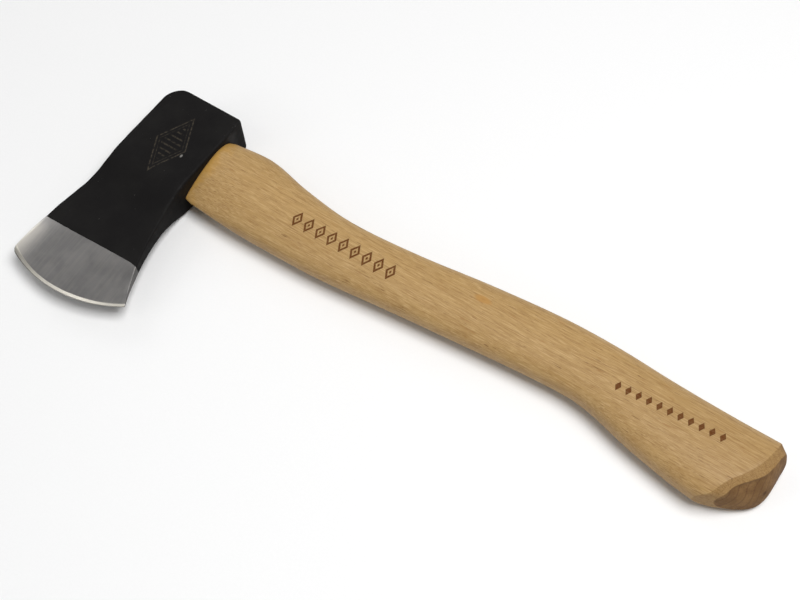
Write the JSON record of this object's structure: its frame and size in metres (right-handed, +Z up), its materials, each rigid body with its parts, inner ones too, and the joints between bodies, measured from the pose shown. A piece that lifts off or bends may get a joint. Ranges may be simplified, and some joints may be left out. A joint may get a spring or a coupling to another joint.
{
  "type": "hatchet",
  "caption": "Wood-handled hatchet with a forged black head, bare ground cutting edge, square poll and a curved one-piece handle wedged into the eye.",
  "frame": {"origin": "centre of the footprint, on the surface that the hatchet lies on: z = 0 is the lower cheek of the head", "axes": "+X along the handle from the head to the butt, -Y towards the cutting edge and +Y towards the poll, +Z up through the upper cheek"},
  "size_m": [0.4046, 0.1385, 0.0245],
  "materials": {
    "head_lacquer": "satin black lacquer over forged steel, ground bare and polished at the bit",
    "hickory": "clear satin lacquer over sanded hickory",
    "wedge_wood": "sawn hardwood, end grain",
    "wedge_steel": "plain drawn steel"
  },
  "bodies": {
    "root": {"axe_head": "head_lacquer", "handle": "hickory", "wooden_wedge": "wedge_wood", "front_cross_wedge": "wedge_steel", "rear_cross_wedge": "wedge_steel"}
  },
  "joints": []
}
